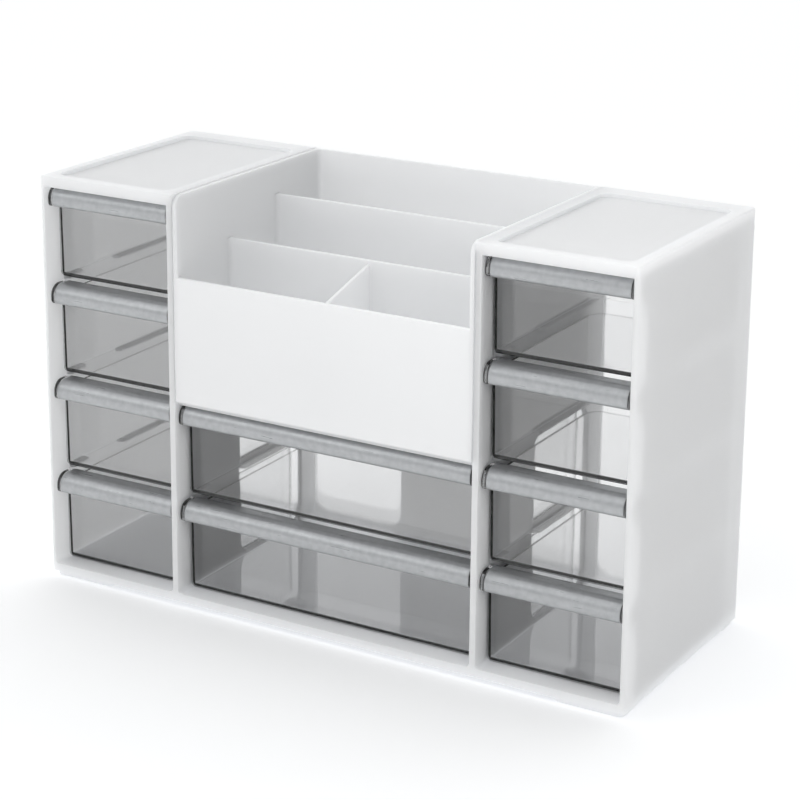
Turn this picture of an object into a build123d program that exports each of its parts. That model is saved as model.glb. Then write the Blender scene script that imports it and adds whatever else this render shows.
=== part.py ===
# A desktop drawer organizer: two towers of four small drawers, two wide drawers between
# them, and an open stepped tray above the wide ones. Millimetres, +Z up, front towards -Y.
# The origin is the middle of the footprint, on the desk.
from build123d import *
import os

os.makedirs("parts", exist_ok=True)

# The case: one white moulding
case_width = 340.0
case_depth = 135.0
outer_wall = 2.6
divider_wall = 3.4
back_wall = 2.4
floor_wall = 3.0
roof_wall = 3.75
deck_wall = 2.4
deck_setback = 3.0
corner_round = 2.0
rim_round = 1.0
bay_round = 2.0
mouth_round = 0.5
weld = 0.5

# The bays and their rows of drawers
tower_bay_width = 77.4
tower_rows = 4
centre_rows = 2
row_gap = 3.15

# Recess in the tower tops, inside a raised rim
recess_depth = 2.0
recess_rim = 6.5
recess_rear_rim = 13.0
recess_round = 5.0

# Hollow underside and its foot bosses
skirt_width = 3.0
skirt_depth = 1.7
foot_height = 2.5
foot_length = 37.0
foot_width = 16.0
foot_round = 4.0
foot_draft = 6.0
foot_side_inset = 1.5
foot_end_inset = 1.5

# Ledges that the drawers run on: a short one behind the pane, and a long one further back
rail_width = 5.0
rail_tip = 1.4
rail_root = 2.4
front_rail_gap = 0.9
front_rail_length = 12.0
rear_rail_start = 58.0
rear_rail_length = 60.0

# Windows in the back wall and in the two dividers
window_width = 56.0
window_round = 8.0
window_margin = 0.8
window_sill = 2.4
window_head = 6.5
divider_window_head = 2.5

# Drawers: one clear moulding each
pane_reveal = 11.0
pane_thickness = 2.0
pane_foot_round = 2.5
drawer_wall = 1.2
drawer_floor = 1.4
drawer_side_drop = 5.3
drawer_side_gap = 0.5
drawer_rear_gap = 12.0
drawer_rear_round = 9.0
drawer_foot_round = 2.0
drawer_inner_round = 0.6
drawer_draft = 0.6
side_clearance = 0.4
run_clearance = 0.3

# Handles: a satin rail that clips over the pane's top edge, between two end cheeks
handle_height = 49.3
handle_reach = 8.2
handle_wall = 2.0
handle_clearance = 0.1
nose_round = 6.2
lip_height = 10.6
lip_round = 2.8
clip_leg = 1.8
clip_leg_depth = 6.0
clip_rib = 1.2
clip_rib_depth = 1.9
cheek_wall = 2.0
cheek_foot = 1.9
handle_top_clearance = 0.6

# The tray: a separate insert that stands on the deck
tray_clearance = 0.3
tray_top_drop = 0.3
tray_wall = 2.4
tray_floor = 2.0
tray_divider = 1.8
tray_front_round = 6.0
tray_pocket_round = 2.5
tray_edge_round = 0.6
panel_height = 65.8
mid_divider_setback = 46.5
mid_divider_height = 76.8
rear_divider_setback = 91.0
rear_divider_height = 91.3
short_divider_front_drop = 3.6
short_divider_rear_drop = 2.2

# Places worked out from the sizes above
front = -case_depth / 2
back = case_depth / 2
back_inside = back - back_wall
half_width = case_width / 2
tower_outer = half_width - outer_wall
tower_inner = tower_outer - tower_bay_width
tower_middle = (tower_outer + tower_inner) / 2
centre_half = tower_inner - divider_wall
skirt_top = foot_height + skirt_depth
floor_top = skirt_top + floor_wall
row_base = floor_top + run_clearance
row_pitch = handle_height + row_gap
handle_top = row_base + (tower_rows - 1) * row_pitch + handle_height
roof_under = handle_top + handle_top_clearance
roof_top = roof_under + roof_wall
overall_height = roof_top + recess_depth
deck_under = row_base + (centre_rows - 1) * row_pitch + handle_height + handle_top_clearance
deck_top = deck_under + deck_wall
pane_front = front + pane_reveal
drawer_side_height = handle_height - drawer_side_drop
drawer_rear = back_inside - drawer_rear_gap
front_rail = pane_front + pane_thickness + front_rail_gap
rear_rail = front + rear_rail_start
rail_spans = ((front_rail, front_rail + front_rail_length), (rear_rail, rear_rail + rear_rail_length))


def rectangle(x0, x1, y0, y1):
    """A rectangle between two corners of a drawing plane."""
    return Pos((x0 + x1) / 2, (y0 + y1) / 2) * Rectangle(x1 - x0, y1 - y0)


def round_corner(shape, x, y, radius):
    """Round the corner of a flat shape that lies nearest to a point."""
    return fillet(shape.vertices().sort_by_distance((x, y, 0))[0], radius)


def block(x0, x1, y0, y1, z0, z1):
    """A block between two corners."""
    return Pos((x0 + x1) / 2, (y0 + y1) / 2, (z0 + z1) / 2) * Box(x1 - x0, y1 - y0, z1 - z0)


def across(outline, x0, x1):
    """Extrude a side view, drawn as (y, z), from x0 to x1."""
    return extrude(Plane.YZ.offset(x0) * outline, x1 - x0, dir=(1, 0, 0))


def along(outline, y0, y1):
    """Extrude a front view, drawn as (x, z), from y0 back to y1."""
    return extrude(Plane.XZ.offset(-y0) * outline, y1 - y0, dir=(0, 1, 0))


def bay_hollow(x0, x1, z0, z1):
    """The room of a bay, open to the front, with round corners along its floor."""
    hollow = block(x0, x1, front - weld, back_inside, z0, z1)
    return fillet(hollow.edges().filter_by(Axis.Y).sort_by(Axis.Z)[:2], bay_round)


def back_window(x0, z0, z1):
    """A tall window through the back wall."""
    window = block(x0, x0 + window_width, back_inside - weld, back + weld, z0, z1)
    return fillet(window.edges().filter_by(Axis.Y), window_round)


def divider_window(side):
    """A window through one divider, below the deck, as long as the rear ledge that crosses it."""
    low_x, high_x = sorted((side * (centre_half - weld), side * (tower_inner + weld)))
    window = block(low_x, high_x, rear_rail, rear_rail + rear_rail_length,
                   floor_top + window_sill, deck_under - divider_window_head)
    return fillet(window.edges().filter_by(Axis.X), window_round)


def rails(wall_x, inward, row_z):
    """The two ledges of one row on a bay wall, flat on top and tapered below, under a drawer."""
    top = row_z - run_clearance
    tip_x = wall_x + inward * rail_width
    root_x = wall_x - inward * weld
    outline = Polygon((root_x, top), (tip_x, top), (tip_x, top - rail_tip), (root_x, top - rail_root),
                      align=None)
    return [along(outline, y0, y1) for y0, y1 in rail_spans]


def round_mouth(body, x0, x1, top):
    """Round the front edges of a bay's two sides and its floor."""
    mouth = [edge for edge in body.edges()
             if abs(edge.center().Y - front) < weld / 2
             and x0 - weld < edge.center().X < x1 + weld
             and floor_top - weld < edge.center().Z < top]
    return fillet(mouth, mouth_round)


def foot(side, end):
    """A low boss under one corner, drafted so that it is smallest on the desk."""
    x = side * (half_width - foot_side_inset - foot_length / 2)
    y = end * (back - foot_end_inset - foot_width / 2)
    pad = RectangleRounded(foot_length, foot_width, foot_round)
    return extrude(Pos(x, y) * pad, skirt_top + weld, taper=-foot_draft)


def case():
    """Walls, dividers, floor, deck, tower roofs, back wall, rails and feet in one moulding."""
    body = block(-half_width, half_width, front, back, foot_height, overall_height)
    body = fillet(body.edges().filter_by(Axis.Z), corner_round)
    body = fillet(body.faces().sort_by(Axis.Z)[-1].edges(), rim_round)

    # the tray's well between the towers, and the wide drawers' bay below it
    body -= block(-centre_half, centre_half, front - weld, back + weld, deck_top, overall_height + weld)
    body -= bay_hollow(-centre_half, centre_half, floor_top, deck_under)
    body -= block(-centre_half, centre_half, front - weld, front + deck_setback,
                  deck_under - weld, deck_top + weld)

    for side in (-1, 1):
        low_x, high_x = sorted((side * tower_inner, side * tower_outer))
        body -= bay_hollow(low_x, high_x, floor_top, roof_under)

        # the shallow recess in the tower's top
        low_x, high_x = sorted((side * (centre_half + recess_rim), side * (half_width - recess_rim)))
        recess = block(low_x, high_x, front + recess_rim, back - recess_rear_rim,
                       roof_top, overall_height + weld)
        body -= fillet(recess.edges().filter_by(Axis.Z), recess_round)

        # windows of the tower and of the wide bay, each beside the divider
        tower_edge = side * (tower_inner + window_margin)
        centre_edge = side * (centre_half - window_margin)
        body -= back_window(min(tower_edge, tower_edge + side * window_width),
                            floor_top + window_sill, roof_under - window_head)
        body -= back_window(min(centre_edge, centre_edge - side * window_width),
                            floor_top + window_sill, deck_under - window_head)
        body -= divider_window(side)

    # the hollow underside inside the skirt
    skirt_x = half_width - skirt_width
    skirt_y = back - skirt_width
    under = block(-skirt_x, skirt_x, -skirt_y, skirt_y, foot_height - weld, skirt_top)
    body -= fillet(under.edges().filter_by(Axis.Z), corner_round)

    # ledges in every row above the floor, and their web where they cross a divider's window
    for side in (-1, 1):
        for row in range(1, tower_rows):
            row_z = row_base + row * row_pitch
            body += rails(side * tower_outer, -side, row_z)
            body += rails(side * tower_inner, side, row_z)
        for row in range(1, centre_rows):
            row_z = row_base + row * row_pitch
            top = row_z - run_clearance
            low_x, high_x = sorted((side * centre_half, side * tower_inner))
            body += rails(side * centre_half, -side, row_z)
            body += block(low_x, high_x, rear_rail - weld, rear_rail + rear_rail_length + weld,
                          top - rail_root, top)
        for end in (-1, 1):
            body += foot(side, end)

    body = round_mouth(body, -centre_half, centre_half, overall_height)
    body = round_mouth(body, -tower_outer, -tower_inner, roof_under - weld)
    return round_mouth(body, tower_inner, tower_outer, roof_under - weld)


def handle_side_view():
    """The handle's outer outline as (y, z) from the pane's front face and the drawer's base."""
    lip_bottom = handle_height - lip_height
    shape = rectangle(-handle_reach, pane_thickness, lip_bottom, handle_height)
    shape = round_corner(shape, -handle_reach, handle_height, nose_round)
    return round_corner(shape, -handle_reach, lip_bottom, lip_round)


def handle(bay_width):
    """A quarter-round grip with a hooked lip, a front rib and a rear leg that grip the pane."""
    length = bay_width / 2 - side_clearance - cheek_wall - handle_clearance
    leg_length = bay_width / 2 - drawer_side_gap - drawer_wall - handle_clearance
    lip_bottom = handle_height - lip_height
    under = handle_height - handle_wall
    rib_front = -handle_clearance - clip_rib
    slot_rear = pane_thickness + handle_clearance
    rear = slot_rear + clip_leg
    inside_front = -handle_reach + handle_wall

    section = handle_side_view() + rectangle(0, rear, under, handle_height)
    hollow = rectangle(inside_front, rib_front, lip_bottom + handle_wall, under)
    hollow = round_corner(hollow, inside_front, under, nose_round - handle_wall)
    hollow = round_corner(hollow, inside_front, lip_bottom + handle_wall, lip_round - handle_wall)
    section -= hollow
    section -= rectangle(-handle_reach + lip_round, rear, lip_bottom - weld, under - clip_rib_depth)
    section -= rectangle(-handle_clearance, rear, lip_bottom, under)
    grip = across(section, -length, length)

    leg = rectangle(slot_rear, rear, under - clip_leg_depth, under + weld)
    return grip + across(leg, -leg_length, leg_length)


def tapered_tub(half, y0, y1, z0, z1, rear_round):
    """A tub that narrows downwards by the draft, with round rear corners. Sizes are at its top."""
    plan = rectangle(-half, half, y0, y1)
    plan = round_corner(plan, -half, y1, rear_round)
    plan = round_corner(plan, half, y1, rear_round)
    return extrude(Pos(0, 0, z1) * plan, z0 - z1, taper=drawer_draft)


def drawer(bay_width):
    """Front pane, tapered box with round rear corners, and the two cheeks beside the handle."""
    pane_half = bay_width / 2 - side_clearance
    box_half = bay_width / 2 - drawer_side_gap
    depth = drawer_rear - pane_front
    pane_top = handle_height - handle_wall - handle_clearance
    lip_bottom = handle_height - lip_height

    front_view = rectangle(-pane_half, pane_half, 0, pane_top)
    front_view = round_corner(front_view, -pane_half, 0, pane_foot_round)
    front_view = round_corner(front_view, pane_half, 0, pane_foot_round)
    body = along(front_view, 0, pane_thickness)

    tub = tapered_tub(box_half, weld, depth, 0, drawer_side_height, drawer_rear_round)
    tub = fillet(tub.faces().sort_by(Axis.Z)[0].edges(), drawer_foot_round)
    body += tub
    inside = tapered_tub(box_half - drawer_wall, pane_thickness, depth - drawer_wall, drawer_floor,
                         drawer_side_height, drawer_rear_round - drawer_wall)
    inside = fillet(inside.faces().sort_by(Axis.Z)[0].edges(), drawer_inner_round)
    body -= inside

    cheek = handle_side_view() + Polygon((-handle_reach + lip_round, lip_bottom), (0, lip_bottom),
                                         (0, lip_bottom - cheek_foot), align=None)
    body += across(cheek, -pane_half, -pane_half + cheek_wall)
    body += across(cheek, pane_half - cheek_wall, pane_half)
    return body


def tray():
    """Low front panel, tall sides and back, and dividers that step up from front to back."""
    half = centre_half - tray_clearance
    inner = half - tray_wall
    top = overall_height - tray_top_drop
    floor = deck_top + tray_floor
    panel_top = deck_top + panel_height
    panel_rear = front + tray_wall
    mid_front = front + mid_divider_setback
    mid_rear = mid_front + tray_divider
    mid_top = deck_top + mid_divider_height
    rear_front = front + rear_divider_setback
    rear_rear = rear_front + tray_divider
    rear_top = deck_top + rear_divider_height

    side_view = rectangle(front, back, deck_top, top)
    side_view = round_corner(side_view, front, top, tray_front_round)
    body = across(side_view, -half, half)

    pockets = ((panel_rear, mid_front), (mid_rear, rear_front), (rear_rear, back - tray_wall))
    for y0, y1 in pockets:
        pocket = block(-inner, inner, y0, y1, floor, top + weld)
        pocket = fillet(pocket.edges().filter_by(Axis.Z), tray_pocket_round)
        body -= fillet(pocket.faces().sort_by(Axis.Z)[0].edges(), tray_pocket_round)

    # the panel and the dividers are lower than the sides
    steps = ((front - weld, panel_rear, panel_top), (mid_front, mid_rear, mid_top),
             (rear_front, rear_rear, rear_top))
    for y0, y1, level in steps:
        body -= block(-inner, inner, y0 - tray_pocket_round, y1 + tray_pocket_round, level, top + weld)
        rim = body.edges().filter_by_position(Axis.Z, level - weld, level + weld)
        body = fillet(rim, tray_edge_round)

    short_view = Polygon((panel_rear - weld, floor - weld), (mid_front + weld, floor - weld),
                         (mid_front + weld, mid_top - short_divider_rear_drop),
                         (panel_rear - weld, panel_top - short_divider_front_drop), align=None)
    return body + across(short_view, -tray_divider / 2, tray_divider / 2)


def save(name, shape, x=0.0, y=0.0, z=0.0):
    """Write one piece, moved to its place, to its own file."""
    placed = Pos(x, y, z) * shape
    placed.label = name
    export_step(placed, f"parts/{name}.step")


def save_drawers(bay, bay_width, bay_middle, rows):
    """One drawer and one handle for every row of a bay, counted from the bottom."""
    one_drawer = drawer(bay_width)
    one_handle = handle(bay_width)
    for row in range(rows):
        row_z = row_base + row * row_pitch
        save(f"drawer_{bay}_{row + 1}", one_drawer, bay_middle, pane_front, row_z)
        save(f"handle_{bay}_{row + 1}", one_handle, bay_middle, pane_front, row_z)


save("case", case())
save("organizer_tray", tray())
save_drawers("left", tower_bay_width, -tower_middle, tower_rows)
save_drawers("right", tower_bay_width, tower_middle, tower_rows)
save_drawers("centre", 2 * centre_half, 0.0, centre_rows)
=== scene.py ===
from math import cos, radians, sin

import bmesh
import bpy
from mathutils import Matrix, Vector


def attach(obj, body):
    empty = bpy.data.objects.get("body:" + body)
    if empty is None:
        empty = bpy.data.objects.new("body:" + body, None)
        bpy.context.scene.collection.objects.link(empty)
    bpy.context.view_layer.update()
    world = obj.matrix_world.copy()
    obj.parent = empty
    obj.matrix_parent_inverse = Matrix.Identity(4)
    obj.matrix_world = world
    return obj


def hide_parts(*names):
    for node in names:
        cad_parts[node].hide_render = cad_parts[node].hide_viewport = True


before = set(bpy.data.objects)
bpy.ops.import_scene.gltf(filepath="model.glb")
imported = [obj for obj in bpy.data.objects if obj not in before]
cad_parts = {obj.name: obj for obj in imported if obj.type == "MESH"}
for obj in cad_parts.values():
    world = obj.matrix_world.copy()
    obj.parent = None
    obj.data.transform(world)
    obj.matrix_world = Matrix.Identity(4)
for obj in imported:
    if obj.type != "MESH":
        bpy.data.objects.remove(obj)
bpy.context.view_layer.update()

MM = 0.001

# Tests of points (mm), directions and angles (degrees)
NEAR = 0.02
ALONG = 0.9
LEVEL = 0.999
SHARP_ANGLE = 40.0
SMOOTH_ANGLE = 35.0
FLAT_ANGLE = 0.5
DOUBLE_DISTANCE = 0.002

# How far a joined block reaches into its neighbour, and a cutter past what it cuts
OVERLAP = 0.5
PAST = 1.0

# Segments of the rounds
NOSE_SEGMENTS = 12
BROAD_SEGMENTS = 10
WINDOW_SEGMENTS = 8
LIP_SEGMENTS = 7
CORNER_SEGMENTS = 6
POCKET_SEGMENTS = 5
SMALL_SEGMENTS = 4
EDGE_SEGMENTS = 3
THIN_SEGMENTS = 2

# The white case, in millimetres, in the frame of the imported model
HALF_WIDTH = 170.0
FRONT = -67.5
BACK = 67.5
BACK_INSIDE = 65.1
FOOT_HEIGHT = 2.5
SKIRT_TOP = 4.2
FLOOR_TOP = 7.2
DECK_UNDER = 109.85
DECK_TOP = 112.25
DECK_FRONT = -64.5
ROOF_UNDER = 214.75
ROOF_TOP = 218.5
CASE_TOP = 220.5
TOWER_OUTER = 167.4
TOWER_INNER = 90.0
CENTRE_HALF = 86.6
CORNER_ROUND = 2.0
RIM_ROUND = 1.0
BAY_ROUND = 2.0
SKIRT_WALL = 3.0
MOULD_ROUND = 0.35

# Recess in a tower's top
RECESS_RIM = 6.5
RECESS_REAR_RIM = 13.0
RECESS_ROUND = 5.0

# Windows behind the drawers and through the dividers
WINDOW_WIDTH = 56.0
WINDOW_ROUND = 8.0
WINDOW_MARGIN = 0.8
WINDOW_BOTTOM = 9.6
TOWER_WINDOW_TOP = 208.25
CENTRE_WINDOW_TOP = 103.35
DIVIDER_WINDOW_TOP = 107.35
DIVIDER_WINDOW_SPAN = (-9.5, 50.5)

# Ledges under the drawers, and feet under the corners
LEDGE_WIDTH = 5.0
LEDGE_TIP = 1.4
LEDGE_ROOT = 2.4
LEDGE_SPANS = ((-53.6, -41.6), (-10.3, 51.3))
FOOT_LENGTH = 37.0
FOOT_WIDTH = 16.0
FOOT_ROUND = 4.0
FOOT_MIDDLE = (150.0, 58.0)
FOOT_SPREAD = 1.03

# The tray
TRAY_HALF = 86.3
TRAY_TOP = 220.2
TRAY_WALL = 2.4
TRAY_FLOOR = 114.25
TRAY_DIVIDER = 1.8
TRAY_FRONT_ROUND = 6.0
TRAY_EDGE_ROUND = 0.6
POCKET_ROUND = 2.5
PANEL_TOP = 178.05
MID_DIVIDER = -21.0
MID_TOP = 189.05
REAR_DIVIDER = 23.5
REAR_TOP = 203.55
SHORT_FRONT_TOP = 174.45
SHORT_REAR_TOP = 186.85

# Rows of drawers
ROW_BASE = 7.5
ROW_PITCH = 52.45
ROW_CLEARANCE = 0.3
TOWER_ROWS = 4
CENTRE_ROWS = 2
SIDE_CLEARANCE = 0.4
PANE_FACE = -56.5

# Drawers and handles, from the pane's face and the drawer's base
PANE_THICKNESS = 2.0
PANE_TOP = 47.2
PANE_FOOT_ROUND = 2.5
DRAWER_DEPTH = 109.6
DRAWER_WALL = 1.2
DRAWER_FLOOR = 1.4
DRAWER_SIDES = 44.0
DRAWER_INSET = 0.1
DRAWER_LEAN = 0.46
DRAWER_REAR_ROUND = 9.0
DRAWER_FOOT_ROUND = 2.0
DRAWER_INNER_ROUND = 0.6
DRAWER_ROOM_PAST = 5.0
PANE_EDGE_ROUND = 0.7
TUB_RIM_ROUND = 0.3
TUB_RIM_START = 0.1
HANDLE_TOP = 49.3
HANDLE_REACH = 8.2
HANDLE_WALL = 2.0
HANDLE_END_ROUND = 0.6
NOSE_ROUND = 6.2
LIP_BOTTOM = 38.7
LIP_ROUND = 2.8
CLIP_REAR = 4.1
CLIP_DROP = 8.0
RIB_FRONT = -1.3
RIB_REAR = -0.1
RIB_BOTTOM = 45.4
RIB_INSET = 2.0
CHEEK_WALL = 2.0
CHEEK_FOOT = 2.43
END_GAP = 0.1

# Camera: where it points, how far it stands, how it is turned
CAMERA_TARGET = Vector((4.88, 2.5, 173.9)) * MM
CAMERA_DISTANCE = 1205.4 * MM
CAMERA_YAW = 30.54
CAMERA_PITCH = 15.45
CAMERA_ROLL = 0.47
CAMERA_LENS = 106.67
CAMERA_SENSOR = 36.0
CAMERA_SHIFT = -0.15
CAMERA_REACH = 50.0

# Light: two soft boxes (metres and watts), and a sky brighter on the left and above
KEY_LIGHT = {"place": (-0.60, -0.75, 0.75), "aim": (0.0, 0.0, 0.15), "side": 0.45, "power": 0.5}
SIDE_LIGHT = {"place": (0.40, -0.26, 0.44), "aim": (0.17, -0.02, 0.17), "side": 0.2, "power": 0.40}
SKY_COLOUR = (0.98, 0.99, 1.0, 1.0)
SKY_TILT = (-0.44, 0.19, 0.30)
SKY_STRENGTH = 0.65
BOUNCES = 24
DIFFUSE_BOUNCES = 8

# Floor
FLOOR_SIDE = 12.0
FLOOR_COLOUR = (0.97, 0.97, 0.97, 1.0)
FLOOR_ROUGHNESS = 0.9
FLOOR_GLOW = 0.18

# Finishes: the range in which a pattern is read, how much darker flow marks are, and colours
CLEAR_WHITE = (1.0, 1.0, 1.0, 1.0)
PATTERN_LOW = 0.3
PATTERN_HIGH = 0.7
FLOW_SHADE = 0.972
WHITE_DEPTH = 11.0
WHITE_COLOUR = (0.935, 0.95, 0.975)
TRAY_DEPTH = 4.0
# painted light: the tray's white is made lighter than the case's to lift the shade inside its
# pockets
TRAY_PAINTED_LIFT_COLOUR = (0.966, 0.97, 0.975)
SMOKE_INDEX = 1.59
SMOKE_COLOUR = (0.30, 0.305, 0.31, 1.0)
SMOKE_DENSITY = 60.0
GREY_METALLIC = 0.6
GREY_DARK = (0.43, 0.44, 0.45)
GREY_LIGHT = (0.50, 0.51, 0.52)


def take(piece):
    """Make one piece the selected and active one."""
    if bpy.context.object and bpy.context.object.mode != "OBJECT":
        bpy.ops.object.mode_set(mode="OBJECT")
    bpy.ops.object.select_all(action="DESELECT")
    piece.select_set(True)
    bpy.context.view_layer.objects.active = piece


def block(name, low, high):
    """A block between two corners, in millimetres, with its place in its mesh."""
    bpy.ops.object.select_all(action="DESELECT")
    middle = [(a + b) / 2 * MM for a, b in zip(low, high)]
    size = [(b - a) * MM for a, b in zip(low, high)]
    bpy.ops.mesh.primitive_cube_add(size=1.0, location=middle, scale=size)
    piece = bpy.context.object
    piece.name = name
    bpy.ops.object.transform_apply(location=True, rotation=True, scale=True)
    return piece


def pick_faces(piece, test):
    """Select, in edit mode, the faces whose middle (mm) and normal pass a test."""
    take(piece)
    bpy.ops.object.mode_set(mode="EDIT")
    bpy.ops.mesh.select_mode(type="FACE")
    bpy.ops.mesh.select_all(action="DESELECT")
    shape = bmesh.from_edit_mesh(piece.data)
    for face in shape.faces:
        if test(face.calc_center_median() / MM, face.normal):
            face.select_set(True)
    bmesh.update_edit_mesh(piece.data)


def pick_edges(piece, test):
    """Select, in edit mode, the edges whose middle (mm) and direction pass a test."""
    take(piece)
    bpy.ops.object.mode_set(mode="EDIT")
    bpy.ops.mesh.select_mode(type="EDGE")
    bpy.ops.mesh.select_all(action="DESELECT")
    shape = bmesh.from_edit_mesh(piece.data)
    for edge in shape.edges:
        ends = [v.co for v in edge.verts]
        if test((ends[0] + ends[1]) / 2 / MM, (ends[1] - ends[0]).normalized()):
            edge.select_set(True)
    bmesh.update_edit_mesh(piece.data)


def near(a, b):
    """Whether two lengths in millimetres are the same."""
    return abs(a - b) < NEAR


def runs(way, axis):
    """Whether a direction runs along an axis (0, 1 or 2), either way."""
    return abs(way[axis]) > ALONG


def round_off(radius, segments):
    """Round the selected edges and leave edit mode."""
    bpy.ops.mesh.bevel(offset=radius * MM, segments=segments, affect="EDGES", clamp_overlap=False)
    bpy.ops.object.mode_set(mode="OBJECT")


def combine(piece, other, how):
    """Join another piece to this one, or cut it out; the other is used up."""
    take(piece)
    tool = piece.modifiers.new(how.lower(), "BOOLEAN")
    tool.operation = how
    tool.solver = "EXACT"
    tool.object = other
    bpy.ops.object.modifier_apply(modifier=tool.name)
    bpy.data.objects.remove(other)


def cut(piece, other):
    combine(piece, other, "DIFFERENCE")


def join(piece, other):
    combine(piece, other, "UNION")


def clean(piece):
    """Drop doubled points and needless edges left by cutting."""
    take(piece)
    bpy.ops.object.mode_set(mode="EDIT")
    bpy.ops.mesh.select_all(action="SELECT")
    bpy.ops.mesh.remove_doubles(threshold=DOUBLE_DISTANCE * MM)
    bpy.ops.mesh.dissolve_limited(angle_limit=radians(FLAT_ANGLE))
    bpy.ops.object.mode_set(mode="OBJECT")


def soften(piece, width, segments):
    """Give sharp outer edges the small round of a moulding, and shade the piece."""
    take(piece)
    bpy.ops.object.mode_set(mode="EDIT")
    bpy.ops.mesh.select_mode(type="EDGE")
    bpy.ops.mesh.select_all(action="DESELECT")
    shape = bmesh.from_edit_mesh(piece.data)
    for edge in shape.edges:
        if edge.is_convex and edge.calc_face_angle() > radians(SHARP_ANGLE):
            edge.select_set(True)
    bmesh.update_edit_mesh(piece.data)
    round_off(width, segments)
    shade(piece)


def shade(piece):
    """Smooth shading over the rounds, with the large flat faces kept flat."""
    take(piece)
    bpy.ops.object.shade_smooth_by_angle(angle=radians(SMOOTH_ANGLE))
    even = piece.modifiers.new("flat_faces", "WEIGHTED_NORMAL")
    even.keep_sharp = True
    even.weight = 100
    bpy.ops.object.modifier_apply(modifier=even.name)


def copy_to(piece, name, shift):
    """A copy with its own mesh, moved by millimetres, its place kept in its mesh."""
    take(piece)
    bpy.ops.object.duplicate()
    twin = bpy.context.object
    twin.name = name
    twin.data.name = name
    bpy.ops.transform.translate(value=[s * MM for s in shift])
    bpy.ops.object.transform_apply(location=True, rotation=False, scale=False)
    return twin


def give_wall(piece, thickness):
    """Turn an open sheet into a wall, inwards from its outer face."""
    take(piece)
    wall = piece.modifiers.new("wall", "SOLIDIFY")
    wall.thickness = thickness * MM
    wall.offset = -1.0
    wall.use_even_offset = True
    bpy.ops.object.modifier_apply(modifier=wall.name)


def side_round(piece, y, z, radius, segments):
    """Round the edge across the piece that runs through one point of its side view."""
    pick_edges(piece, lambda middle, way: runs(way, 0) and near(middle.y, y) and near(middle.z, z))
    round_off(radius, segments)


def side_view(piece):
    """Give a block the handle's side view: a large nose above, a smaller round below."""
    side_round(piece, -HANDLE_REACH, HANDLE_TOP, NOSE_ROUND, NOSE_SEGMENTS)
    side_round(piece, -HANDLE_REACH, LIP_BOTTOM, LIP_ROUND, LIP_SEGMENTS)


def handle(name, half):
    """A grip bent over the pane's top: round nose, hooked lip, rear clip leg, rounded ends."""
    grip = block(name, (-half, -HANDLE_REACH, LIP_BOTTOM), (half, 0.0, HANDLE_TOP))
    side_view(grip)

    # open it behind, below and at both ends, so that a bent sheet is left
    pick_faces(grip, lambda middle, normal: runs(normal, 0) or normal.y > ALONG
               or normal.z < -LEVEL)
    bpy.ops.mesh.delete(type="FACE")
    bpy.ops.object.mode_set(mode="OBJECT")

    # carry the top back over the pane, and turn it down behind
    pick_edges(grip, lambda middle, way: runs(way, 0) and near(middle.y, 0)
               and near(middle.z, HANDLE_TOP))
    bpy.ops.mesh.extrude_region_move(TRANSFORM_OT_translate={"value": (0, CLIP_REAR * MM, 0)})
    bpy.ops.mesh.extrude_region_move(TRANSFORM_OT_translate={"value": (0, 0, -CLIP_DROP * MM)})
    bpy.ops.mesh.select_all(action="SELECT")
    bpy.ops.mesh.normals_make_consistent(inside=False)
    bpy.ops.object.mode_set(mode="OBJECT")
    give_wall(grip, HANDLE_WALL)
    join(grip, block("rib", (-half + RIB_INSET, RIB_FRONT, RIB_BOTTOM),
                     (half - RIB_INSET, RIB_REAR, HANDLE_TOP - HANDLE_WALL / 2)))
    clean(grip)
    soften(grip, HANDLE_END_ROUND, SMALL_SEGMENTS)
    return grip


def leaning_tub(name, low, high, rear_round, foot_round):
    """A tub's outer or inner form: sides lean in below, rear corners and foot rounded."""
    tub = block(name, low, high)
    pick_faces(tub, lambda middle, normal: normal.z < -ALONG)
    wide, long = high[0] - low[0], high[1] - low[1]
    foot = Vector(((low[0] + high[0]) / 2, (low[1] + high[1]) / 2, low[2])) * MM
    narrower, shorter = 1 - 2 * DRAWER_LEAN / wide, 1 - 2 * DRAWER_LEAN / long
    bpy.ops.transform.resize(value=(narrower, shorter, 1.0), center_override=foot)
    bpy.ops.object.mode_set(mode="OBJECT")
    pick_edges(tub, lambda middle, way: runs(way, 2) and middle.y > (low[1] + high[1]) / 2)
    round_off(rear_round, BROAD_SEGMENTS)
    pick_edges(tub, lambda middle, way: near(middle.z, low[2]))
    round_off(foot_round, SMALL_SEGMENTS)
    return tub


def cheek(x0, x1):
    """The clear ear beside the handle, with the handle's side view and a sloping foot."""
    rear = PANE_THICKNESS - OVERLAP
    ear = block("ear", (x0, -HANDLE_REACH, LIP_BOTTOM), (x1, rear, HANDLE_TOP))
    side_view(ear)
    pick_edges(ear, lambda middle, way: runs(way, 0) and near(middle.y, rear)
               and near(middle.z, LIP_BOTTOM))
    bpy.ops.transform.translate(value=(0, 0, -CHEEK_FOOT * MM))
    bpy.ops.object.mode_set(mode="OBJECT")
    return ear


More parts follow.
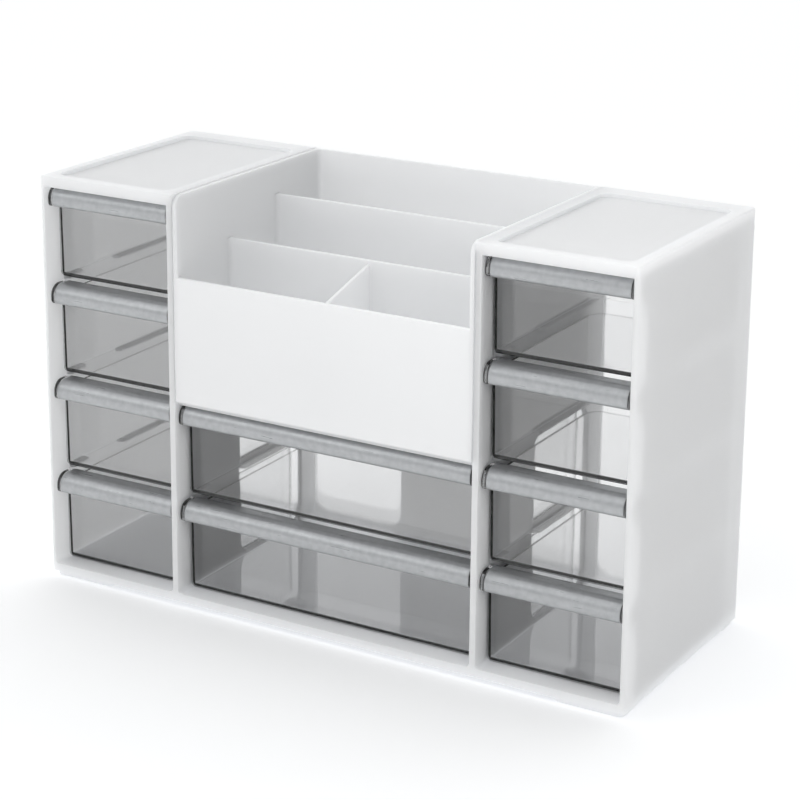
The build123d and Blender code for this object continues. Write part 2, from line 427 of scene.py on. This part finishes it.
def drawer(name, half):
    """Pane, leaning tub with round rear corners, and the two clear ears, in one moulding."""
    body = block(name, (-half, 0.0, 0.0), (half, PANE_THICKNESS, PANE_TOP))
    pick_edges(body, lambda middle, way: runs(way, 1) and near(middle.z, 0))
    round_off(PANE_FOOT_ROUND, POCKET_SEGMENTS)
    pick_edges(body, lambda middle, way: near(middle.y, 0))
    round_off(PANE_EDGE_ROUND, SMALL_SEGMENTS)
    outer = half - DRAWER_INSET
    join(body, leaning_tub("tub", (-outer, OVERLAP, 0.0), (outer, DRAWER_DEPTH, DRAWER_SIDES),
                           DRAWER_REAR_ROUND, DRAWER_FOOT_ROUND))
    join(body, cheek(-half, -half + CHEEK_WALL))
    join(body, cheek(half - CHEEK_WALL, half))
    inner = outer - DRAWER_WALL
    cut(body, leaning_tub("room", (-inner, PANE_THICKNESS, DRAWER_FLOOR),
                          (inner, DRAWER_DEPTH - DRAWER_WALL, DRAWER_SIDES + DRAWER_ROOM_PAST),
                          DRAWER_REAR_ROUND - DRAWER_WALL, DRAWER_INNER_ROUND))
    clean(body)
    pick_edges(body, lambda middle, way: near(middle.z, DRAWER_SIDES)
               and middle.y > PANE_THICKNESS + TUB_RIM_START)
    round_off(TUB_RIM_ROUND, THIN_SEGMENTS)
    shade(body)
    return body


def tray(name):
    """Low front panel, tall sides and back, and dividers that step up towards the back."""
    body = block(name, (-TRAY_HALF, FRONT, DECK_TOP), (TRAY_HALF, BACK, TRAY_TOP))
    side_round(body, FRONT, TRAY_TOP, TRAY_FRONT_ROUND, BROAD_SEGMENTS)
    inner = TRAY_HALF - TRAY_WALL
    for y0, y1 in ((FRONT + TRAY_WALL, MID_DIVIDER), (MID_DIVIDER + TRAY_DIVIDER, REAR_DIVIDER),
                   (REAR_DIVIDER + TRAY_DIVIDER, BACK - TRAY_WALL)):
        pocket = block("pocket", (-inner, y0, TRAY_FLOOR), (inner, y1, TRAY_TOP + PAST))
        pick_edges(pocket, lambda middle, way: runs(way, 2) or near(middle.z, TRAY_FLOOR))
        round_off(POCKET_ROUND, POCKET_SEGMENTS)
        cut(body, pocket)
    for y0, y1, level in ((FRONT - OVERLAP, FRONT + TRAY_WALL, PANEL_TOP),
                          (MID_DIVIDER, MID_DIVIDER + TRAY_DIVIDER, MID_TOP),
                          (REAR_DIVIDER, REAR_DIVIDER + TRAY_DIVIDER, REAR_TOP)):
        cut(body, block("step", (-inner, y0 - POCKET_ROUND, level),
                        (inner, y1 + POCKET_ROUND, TRAY_TOP + PAST)))

    # the fore-and-aft divider, whose top runs up to the back
    half = TRAY_DIVIDER / 2
    divider = block("short_divider", (-half, FRONT + TRAY_WALL - OVERLAP, TRAY_FLOOR - OVERLAP),
                    (half, MID_DIVIDER + OVERLAP, SHORT_FRONT_TOP))
    pick_edges(divider, lambda middle, way: runs(way, 0) and middle.y > MID_DIVIDER
               and near(middle.z, SHORT_FRONT_TOP))
    bpy.ops.transform.translate(value=(0, 0, (SHORT_REAR_TOP - SHORT_FRONT_TOP) * MM))
    bpy.ops.object.mode_set(mode="OBJECT")
    join(body, divider)
    clean(body)
    soften(body, TRAY_EDGE_ROUND, EDGE_SEGMENTS)
    return body


def rounded_block(name, low, high, axis, radius, segments, below=None):
    """A block whose edges along one axis are rounded, or only those that lie below a height."""
    piece = block(name, low, high)
    pick_edges(piece, lambda middle, way: runs(way, axis) and (below is None or middle.z < below))
    round_off(radius, segments)
    return piece


def ledges(bay_low, bay_high, rows):
    """The ledges of one bay: on both walls, flat on top, thinner towards their tips."""
    pieces = []

    # each starts inside its wall, so its depth there is carried on along its slope
    deep = LEDGE_ROOT + (LEDGE_ROOT - LEDGE_TIP) / LEDGE_WIDTH * OVERLAP
    for wall_x, inward in ((bay_low, 1), (bay_high, -1)):
        for row in range(1, rows):
            top = ROW_BASE + row * ROW_PITCH - ROW_CLEARANCE
            for y0, y1 in LEDGE_SPANS:
                tip = wall_x + inward * LEDGE_WIDTH
                x0, x1 = sorted((wall_x - inward * OVERLAP, tip))
                ledge = block("ledge", (x0, y0, top - deep), (x1, y1, top))
                pick_edges(ledge, lambda middle, way: runs(way, 1) and near(middle.x, tip)
                           and near(middle.z, top - deep))
                bpy.ops.transform.translate(value=(0, 0, (deep - LEDGE_TIP) * MM))
                bpy.ops.object.mode_set(mode="OBJECT")
                pieces.append(ledge)
    return pieces


def foot(side, end):
    """A low foot under one corner, a little smaller on the desk than where it leaves the case."""
    x, y = side * FOOT_MIDDLE[0], end * FOOT_MIDDLE[1]
    low = (x - FOOT_LENGTH / 2, y - FOOT_WIDTH / 2, 0.0)
    high = (x + FOOT_LENGTH / 2, y + FOOT_WIDTH / 2, SKIRT_TOP + OVERLAP)
    pad = rounded_block("foot", low, high, 2, FOOT_ROUND, CORNER_SEGMENTS)
    pick_faces(pad, lambda middle, normal: normal.z > ALONG)
    bpy.ops.transform.resize(value=(FOOT_SPREAD, FOOT_SPREAD, 1.0),
                             center_override=Vector((x, y, high[2])) * MM)
    bpy.ops.object.mode_set(mode="OBJECT")
    return pad


def cut_windows(body, side):
    """The back windows of the tower and of the centre bay on one side, and the divider's."""
    for near_x, outward, top in ((TOWER_INNER + WINDOW_MARGIN, 1, TOWER_WINDOW_TOP),
                                 (CENTRE_HALF - WINDOW_MARGIN, -1, CENTRE_WINDOW_TOP)):
        x0, x1 = sorted((side * near_x, side * (near_x + outward * WINDOW_WIDTH)))
        cut(body, rounded_block("window", (x0, BACK_INSIDE - PAST, WINDOW_BOTTOM),
                                (x1, BACK + PAST, top), 1, WINDOW_ROUND, WINDOW_SEGMENTS))
    x0, x1 = sorted((side * (CENTRE_HALF - OVERLAP), side * (TOWER_INNER + OVERLAP)))
    y0, y1 = DIVIDER_WINDOW_SPAN
    cut(body, rounded_block("divider_window", (x0, y0, WINDOW_BOTTOM), (x1, y1, DIVIDER_WINDOW_TOP),
                            0, WINDOW_ROUND, WINDOW_SEGMENTS))


def case(name):
    """Outer walls, dividers, deck, roofs, back, ledges and feet, in one white moulding."""
    body = rounded_block(name, (-HALF_WIDTH, FRONT, FOOT_HEIGHT), (HALF_WIDTH, BACK, CASE_TOP),
                         2, CORNER_ROUND, CORNER_SEGMENTS)
    pick_faces(body, lambda middle, normal: normal.z > ALONG)
    round_off(RIM_ROUND, SMALL_SEGMENTS)
    cut(body, block("well", (-CENTRE_HALF, FRONT - PAST, DECK_TOP),
                    (CENTRE_HALF, BACK + PAST, CASE_TOP + PAST)))
    cut(body, block("deck_step", (-CENTRE_HALF, FRONT - PAST, DECK_UNDER - OVERLAP),
                    (CENTRE_HALF, DECK_FRONT, DECK_TOP + OVERLAP)))
    centre = (-CENTRE_HALF, CENTRE_HALF, DECK_UNDER)
    left = (-TOWER_OUTER, -TOWER_INNER, ROOF_UNDER)
    right = (TOWER_INNER, TOWER_OUTER, ROOF_UNDER)
    for x0, x1, top in (centre, left, right):
        cut(body, rounded_block("bay", (x0, FRONT - PAST, FLOOR_TOP), (x1, BACK_INSIDE, top),
                                1, BAY_ROUND, SMALL_SEGMENTS, below=FLOOR_TOP + PAST))
    for side in (-1, 1):
        x0, x1 = sorted((side * (CENTRE_HALF + RECESS_RIM), side * (HALF_WIDTH - RECESS_RIM)))
        cut(body, rounded_block("recess", (x0, FRONT + RECESS_RIM, ROOF_TOP),
                                (x1, BACK - RECESS_REAR_RIM, CASE_TOP + PAST),
                                2, RECESS_ROUND, WINDOW_SEGMENTS))
        cut_windows(body, side)
    inside = HALF_WIDTH - SKIRT_WALL
    cut(body, rounded_block("underside", (-inside, FRONT + SKIRT_WALL, FOOT_HEIGHT - PAST),
                            (inside, BACK - SKIRT_WALL, SKIRT_TOP),
                            2, CORNER_ROUND, SMALL_SEGMENTS))
    pieces = (ledges(*left[:2], TOWER_ROWS) + ledges(*right[:2], TOWER_ROWS)
              + ledges(*centre[:2], CENTRE_ROWS))

    # where ledges on both faces of a divider cross its window, a web joins them
    top = ROW_BASE + ROW_PITCH - ROW_CLEARANCE
    y0, y1 = DIVIDER_WINDOW_SPAN
    for side in (-1, 1):
        x0, x1 = sorted((side * CENTRE_HALF, side * TOWER_INNER))
        pieces.append(block("web", (x0, y0 - OVERLAP, top - LEDGE_ROOT), (x1, y1 + OVERLAP, top)))
        pieces += [foot(side, end) for end in (-1, 1)]
    for piece in pieces:
        join(body, piece)
    clean(body)
    soften(body, MOULD_ROUND, EDGE_SEGMENTS)
    return body


def node_tree(name):
    """A new material with a plain shader; returns material, nodes, links and shader."""
    material = bpy.data.materials.new(name)
    material.use_nodes = True
    tree = material.node_tree
    return material, tree.nodes, tree.links, tree.nodes["Principled BSDF"]


def noise(nodes, links, across, detail, stretch=(1.0, 1.0, 1.0)):
    """A soft pattern on the piece's own coordinates, with patches so many millimetres across."""
    where = nodes.new("ShaderNodeTexCoord")
    scale = nodes.new("ShaderNodeMapping")
    scale.inputs["Scale"].default_value = stretch
    pattern = nodes.new("ShaderNodeTexNoise")
    pattern.inputs["Scale"].default_value = 1 / (across * MM)
    pattern.inputs["Detail"].default_value = detail
    links.new(where.outputs["Object"], scale.inputs["Vector"])
    links.new(scale.outputs["Vector"], pattern.inputs["Vector"])
    return pattern.outputs["Fac"]


def spread(nodes, links, source, low, high):
    """Carry a pattern's middle range to the range from low to high."""
    carry = nodes.new("ShaderNodeMapRange")
    carry.inputs["From Min"].default_value = PATTERN_LOW
    carry.inputs["From Max"].default_value = PATTERN_HIGH
    carry.inputs["To Min"].default_value = low
    carry.inputs["To Max"].default_value = high
    links.new(source, carry.inputs["Value"])
    return carry.outputs["Result"]


def tint(nodes, links, source, dark, light):
    """Carry a pattern from one colour to another."""
    ramp = nodes.new("ShaderNodeValToRGB")
    ramp.color_ramp.elements[0].position = PATTERN_LOW
    ramp.color_ramp.elements[0].color = (*dark, 1.0)
    ramp.color_ramp.elements[1].position = PATTERN_HIGH
    ramp.color_ramp.elements[1].color = (*light, 1.0)
    links.new(source, ramp.inputs["Fac"])
    return ramp.outputs["Color"]


def bumps(nodes, links, layers):
    """Stack bumps from (pattern, height in millimetres, strength), coarse ones first."""
    normal = None
    for source, height, strength in layers:
        bump = nodes.new("ShaderNodeBump")
        bump.inputs["Distance"].default_value = height * MM
        bump.inputs["Strength"].default_value = strength
        links.new(source, bump.inputs["Height"])
        if normal:
            links.new(normal, bump.inputs["Normal"])
        normal = bump.outputs["Normal"]
    return normal


def white_plastic(name, depth, colour):
    """White moulded polystyrene that lets some light through.

    Satin with a fine spark-eroded grain, soft flow marks that run up from the base, and a
    very slight waviness of the large walls. depth is how far light travels in it, in mm.
    """
    material, nodes, links, shader = node_tree(name)
    shader.inputs["Subsurface Weight"].default_value = 1.0
    shader.inputs["Subsurface Radius"].default_value = (1.0, 1.0, 1.0)
    shader.inputs["Subsurface Scale"].default_value = depth * MM
    flow = noise(nodes, links, across=70.0, detail=3.0, stretch=(1.0, 1.0, 0.35))
    patches = noise(nodes, links, across=22.0, detail=4.0)
    grain = noise(nodes, links, across=0.35, detail=2.0)
    dark = tuple(c * FLOW_SHADE for c in colour)
    relief = bumps(nodes, links, ((flow, 0.25, 0.25), (grain, 0.012, 0.35)))
    links.new(tint(nodes, links, flow, dark, light=colour), shader.inputs["Base Color"])
    links.new(spread(nodes, links, patches, low=0.36, high=0.46), shader.inputs["Roughness"])
    links.new(relief, shader.inputs["Normal"])
    return material


def smoke_plastic():
    """Clear smoke-grey polystyrene: the tint is in its thickness, so its edges go black."""
    material, nodes, links, shader = node_tree("smoke_clear")
    shader.inputs["Base Color"].default_value = CLEAR_WHITE
    shader.inputs["IOR"].default_value = SMOKE_INDEX
    shader.inputs["Transmission Weight"].default_value = 1.0
    haze = noise(nodes, links, across=9.0, detail=5.0)
    wave = noise(nodes, links, across=28.0, detail=1.0)
    links.new(spread(nodes, links, haze, low=0.015, high=0.05), shader.inputs["Roughness"])
    links.new(bumps(nodes, links, ((wave, 0.10, 0.12),)), shader.inputs["Normal"])
    absorb = nodes.new("ShaderNodeVolumeAbsorption")
    absorb.inputs["Color"].default_value = SMOKE_COLOUR
    absorb.inputs["Density"].default_value = SMOKE_DENSITY
    links.new(absorb.outputs["Volume"], nodes["Material Output"].inputs["Volume"])
    return material


def satin_grey():
    """Silver-grey plastic rail: a fine frosted face with faint marks along its length."""
    material, nodes, links, shader = node_tree("satin_silver_grey")
    shader.inputs["Metallic"].default_value = GREY_METALLIC
    cloud = noise(nodes, links, across=3.2, detail=4.0)
    drawn = noise(nodes, links, across=1.2, detail=3.0, stretch=(0.06, 1.0, 1.0))
    frost = noise(nodes, links, across=0.3, detail=2.0)
    relief = bumps(nodes, links, ((cloud, 0.05, 0.3), (frost, 0.012, 0.4)))
    links.new(tint(nodes, links, cloud, GREY_DARK, GREY_LIGHT), shader.inputs["Base Color"])
    links.new(spread(nodes, links, drawn, low=0.27, high=0.40), shader.inputs["Roughness"])
    links.new(relief, shader.inputs["Normal"])
    return material


def dress(node, material):
    """Give a piece its finish."""
    node.data.materials.clear()
    node.data.materials.append(material)


WHITE = white_plastic("white_moulding", WHITE_DEPTH, WHITE_COLOUR)
# The tray gets a lighter white than the case, a painted lift against the shade in its pockets
TRAY_WHITE_PAINTED_LIFT = white_plastic("tray_moulding_painted_lift", TRAY_DEPTH, TRAY_PAINTED_LIFT_COLOUR)
SMOKE = smoke_plastic()
GREY = satin_grey()
for name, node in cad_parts.items():
    if name.startswith("drawer"):
        dress(node, SMOKE)
    elif name.startswith("handle"):
        dress(node, GREY)
    else:
        dress(node, WHITE)

# Where each bay of drawers has its middle, half its width, and its number of rows
TOWER_MIDDLE = (TOWER_OUTER + TOWER_INNER) / 2
TOWER_HALF = (TOWER_OUTER - TOWER_INNER) / 2
BAYS = {
    "left": (-TOWER_MIDDLE, TOWER_HALF, TOWER_ROWS),
    "right": (TOWER_MIDDLE, TOWER_HALF, TOWER_ROWS),
    "centre": (0.0, CENTRE_HALF, CENTRE_ROWS),
}


def stand_for(piece, node, body, finish):
    """Dress a piece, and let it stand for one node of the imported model."""
    dress(piece, finish)
    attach(piece, body)
    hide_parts(node)


def fill_bays():
    """Put a drawer with its handle in every row; each width is modelled once and copied."""
    masters = {}
    for bay, (middle, half, rows) in BAYS.items():
        if half not in masters:
            pane_half = half - SIDE_CLEARANCE
            masters[half] = (drawer("drawer_master", pane_half),
                             handle("handle_master", pane_half - CHEEK_WALL - END_GAP))
        one_drawer, one_handle = masters[half]
        for row in range(rows):
            place = (middle, PANE_FACE, ROW_BASE + row * ROW_PITCH)
            node = f"drawer_{bay}_{row + 1}"
            grip = f"handle_{bay}_{row + 1}"
            stand_for(copy_to(one_drawer, f"{node}_piece", place), node, node, SMOKE)
            stand_for(copy_to(one_handle, f"{grip}_piece", place), grip, node, GREY)
    for pair in masters.values():
        for master in pair:
            bpy.data.objects.remove(master)


fill_bays()
stand_for(tray("organizer_tray_piece"), "organizer_tray", "case", TRAY_WHITE_PAINTED_LIFT)
stand_for(case("case_piece"), "case", "case", WHITE)


def soft_box(name, place, aim, side, power):
    """A square soft box, aimed at a point."""
    lamp = bpy.data.lights.new(name, "AREA")
    lamp.size = side
    lamp.energy = power
    holder = bpy.data.objects.new(name, lamp)
    bpy.context.scene.collection.objects.link(holder)
    holder.location = place
    holder.rotation_euler = (Vector(aim) - Vector(place)).to_track_quat("-Z", "Y").to_euler()


def light_sky():
    """Light from all round, whose strength changes with the direction."""
    world = bpy.context.scene.world or bpy.data.worlds.new("studio")
    bpy.context.scene.world = world
    world.use_nodes = True
    nodes, links = world.node_tree.nodes, world.node_tree.links
    nodes["Background"].inputs["Color"].default_value = SKY_COLOUR
    direction = nodes.new("ShaderNodeTexCoord")
    tilt = nodes.new("ShaderNodeVectorMath")
    tilt.operation = "DOT_PRODUCT"
    tilt.inputs[1].default_value = SKY_TILT
    strength = nodes.new("ShaderNodeMath")
    strength.operation = "ADD"
    strength.inputs[1].default_value = SKY_STRENGTH
    links.new(direction.outputs["Generated"], tilt.inputs[0])
    links.new(tilt.outputs["Value"], strength.inputs[0])
    links.new(strength.outputs["Value"], nodes["Background"].inputs["Strength"])


soft_box("key_softbox", **KEY_LIGHT)
soft_box("side_softbox", **SIDE_LIGHT)
light_sky()
bpy.context.scene.view_settings.view_transform = "Standard"
bpy.context.scene.cycles.max_bounces = BOUNCES
bpy.context.scene.cycles.transmission_bounces = BOUNCES
bpy.context.scene.cycles.diffuse_bounces = DIFFUSE_BOUNCES

bpy.ops.object.select_all(action="DESELECT")
bpy.ops.mesh.primitive_plane_add(size=FLOOR_SIDE, location=(0.0, 0.0, 0.0))
floor = bpy.context.object
floor.name = "studio_floor"
floor_material, _, _, floor_shader = node_tree("pale_floor")
floor_shader.inputs["Base Color"].default_value = FLOOR_COLOUR
floor_shader.inputs["Roughness"].default_value = FLOOR_ROUGHNESS
floor_shader.inputs["Emission Color"].default_value = CLEAR_WHITE
floor_shader.inputs["Emission Strength"].default_value = FLOOR_GLOW
floor.data.materials.append(floor_material)


def camera():
    """The camera that the values at the top describe."""
    yaw, pitch, roll = (radians(a) for a in (CAMERA_YAW, CAMERA_PITCH, CAMERA_ROLL))
    look = Vector((-sin(yaw) * cos(pitch), cos(yaw) * cos(pitch), -sin(pitch)))
    level = Vector((cos(yaw), sin(yaw), 0.0))
    rise = level.cross(look)
    right = level * cos(roll) + rise * sin(roll)
    up = rise * cos(roll) - level * sin(roll)
    data = bpy.data.cameras.new("photo_camera")
    data.lens = CAMERA_LENS
    data.sensor_width = CAMERA_SENSOR
    data.shift_y = CAMERA_SHIFT
    data.clip_end = CAMERA_REACH
    holder = bpy.data.objects.new("photo_camera", data)
    bpy.context.scene.collection.objects.link(holder)
    turn = Matrix((right, up, -look)).transposed().to_4x4()
    holder.matrix_world = Matrix.Translation(CAMERA_TARGET - look * CAMERA_DISTANCE) @ turn
    bpy.context.scene.camera = holder


camera()
